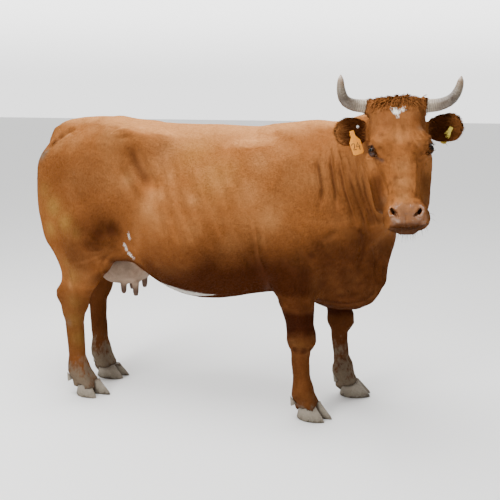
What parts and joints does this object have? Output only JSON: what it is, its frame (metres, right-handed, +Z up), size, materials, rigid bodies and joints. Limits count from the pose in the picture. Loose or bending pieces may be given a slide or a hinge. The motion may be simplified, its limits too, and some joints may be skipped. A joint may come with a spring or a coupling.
{
  "type": "cow",
  "caption": "Life-size standing cow with a short red-brown coat, curved horns, an udder and ear tags, its head turned to its right; a still display model.",
  "frame": {"origin": "on the ground at the middle of the model's bounding box, seen from above", "axes": "+X along the back towards the chest, +Y to the animal's left, +Z up; the hooves stand on z = 0"},
  "size_m": [1.989, 1.025, 1.5342],
  "materials": {
    "coat": "short, flat, red-brown hair with a soft sheen, darker below and on the legs",
    "hair": "long brown hair in tapered locks",
    "horn": "ringed horn, pale at the root and grey-brown to the tip, half-gloss",
    "eye": "dark brown and wet",
    "udder": "bare pinkish grey skin with fine wrinkles and darker teat ends",
    "hoof": "grey-beige hoof horn with growth rings and dried mud",
    "tag_orange": "faded orange flexible plastic, slightly soiled",
    "tag_yellow": "faded yellow flexible plastic",
    "stud": "small pale metal button"
  },
  "bodies": {
    "root": {"torso": "coat", "neck": "coat", "head": "coat", "leg_fore_right": "coat", "claw_fore_right_right": "hoof", "dewclaw_fore_right_right": "hoof", "claw_fore_right_left": "hoof", "dewclaw_fore_right_left": "hoof", "leg_fore_left": "coat", "claw_fore_left_right": "hoof", "dewclaw_fore_left_right": "hoof", "claw_fore_left_left": "hoof", "dewclaw_fore_left_left": "hoof", "leg_hind_right": "coat", "claw_hind_right_right": "hoof", "dewclaw_hind_right_right": "hoof", "claw_hind_right_left": "hoof", "dewclaw_hind_right_left": "hoof", "leg_hind_left": "coat", "claw_hind_left_right": "hoof", "dewclaw_hind_left_right": "hoof", "claw_hind_left_left": "hoof", "dewclaw_hind_left_left": "hoof", "horn_right": "horn", "eye_right": "eye", "ear_right": "coat", "ear_tag_right": "tag_orange", "horn_left": "horn", "eye_left": "eye", "ear_left": "coat", "ear_tag_left": "tag_yellow", "ear_stud_right": "stud", "udder": "udder", "teat_fore_right": "udder", "teat_fore_left": "udder", "teat_hind_right": "udder", "teat_hind_left": "udder", "tail": "coat", "tail_switch": "hair"}
  },
  "joints": []
}
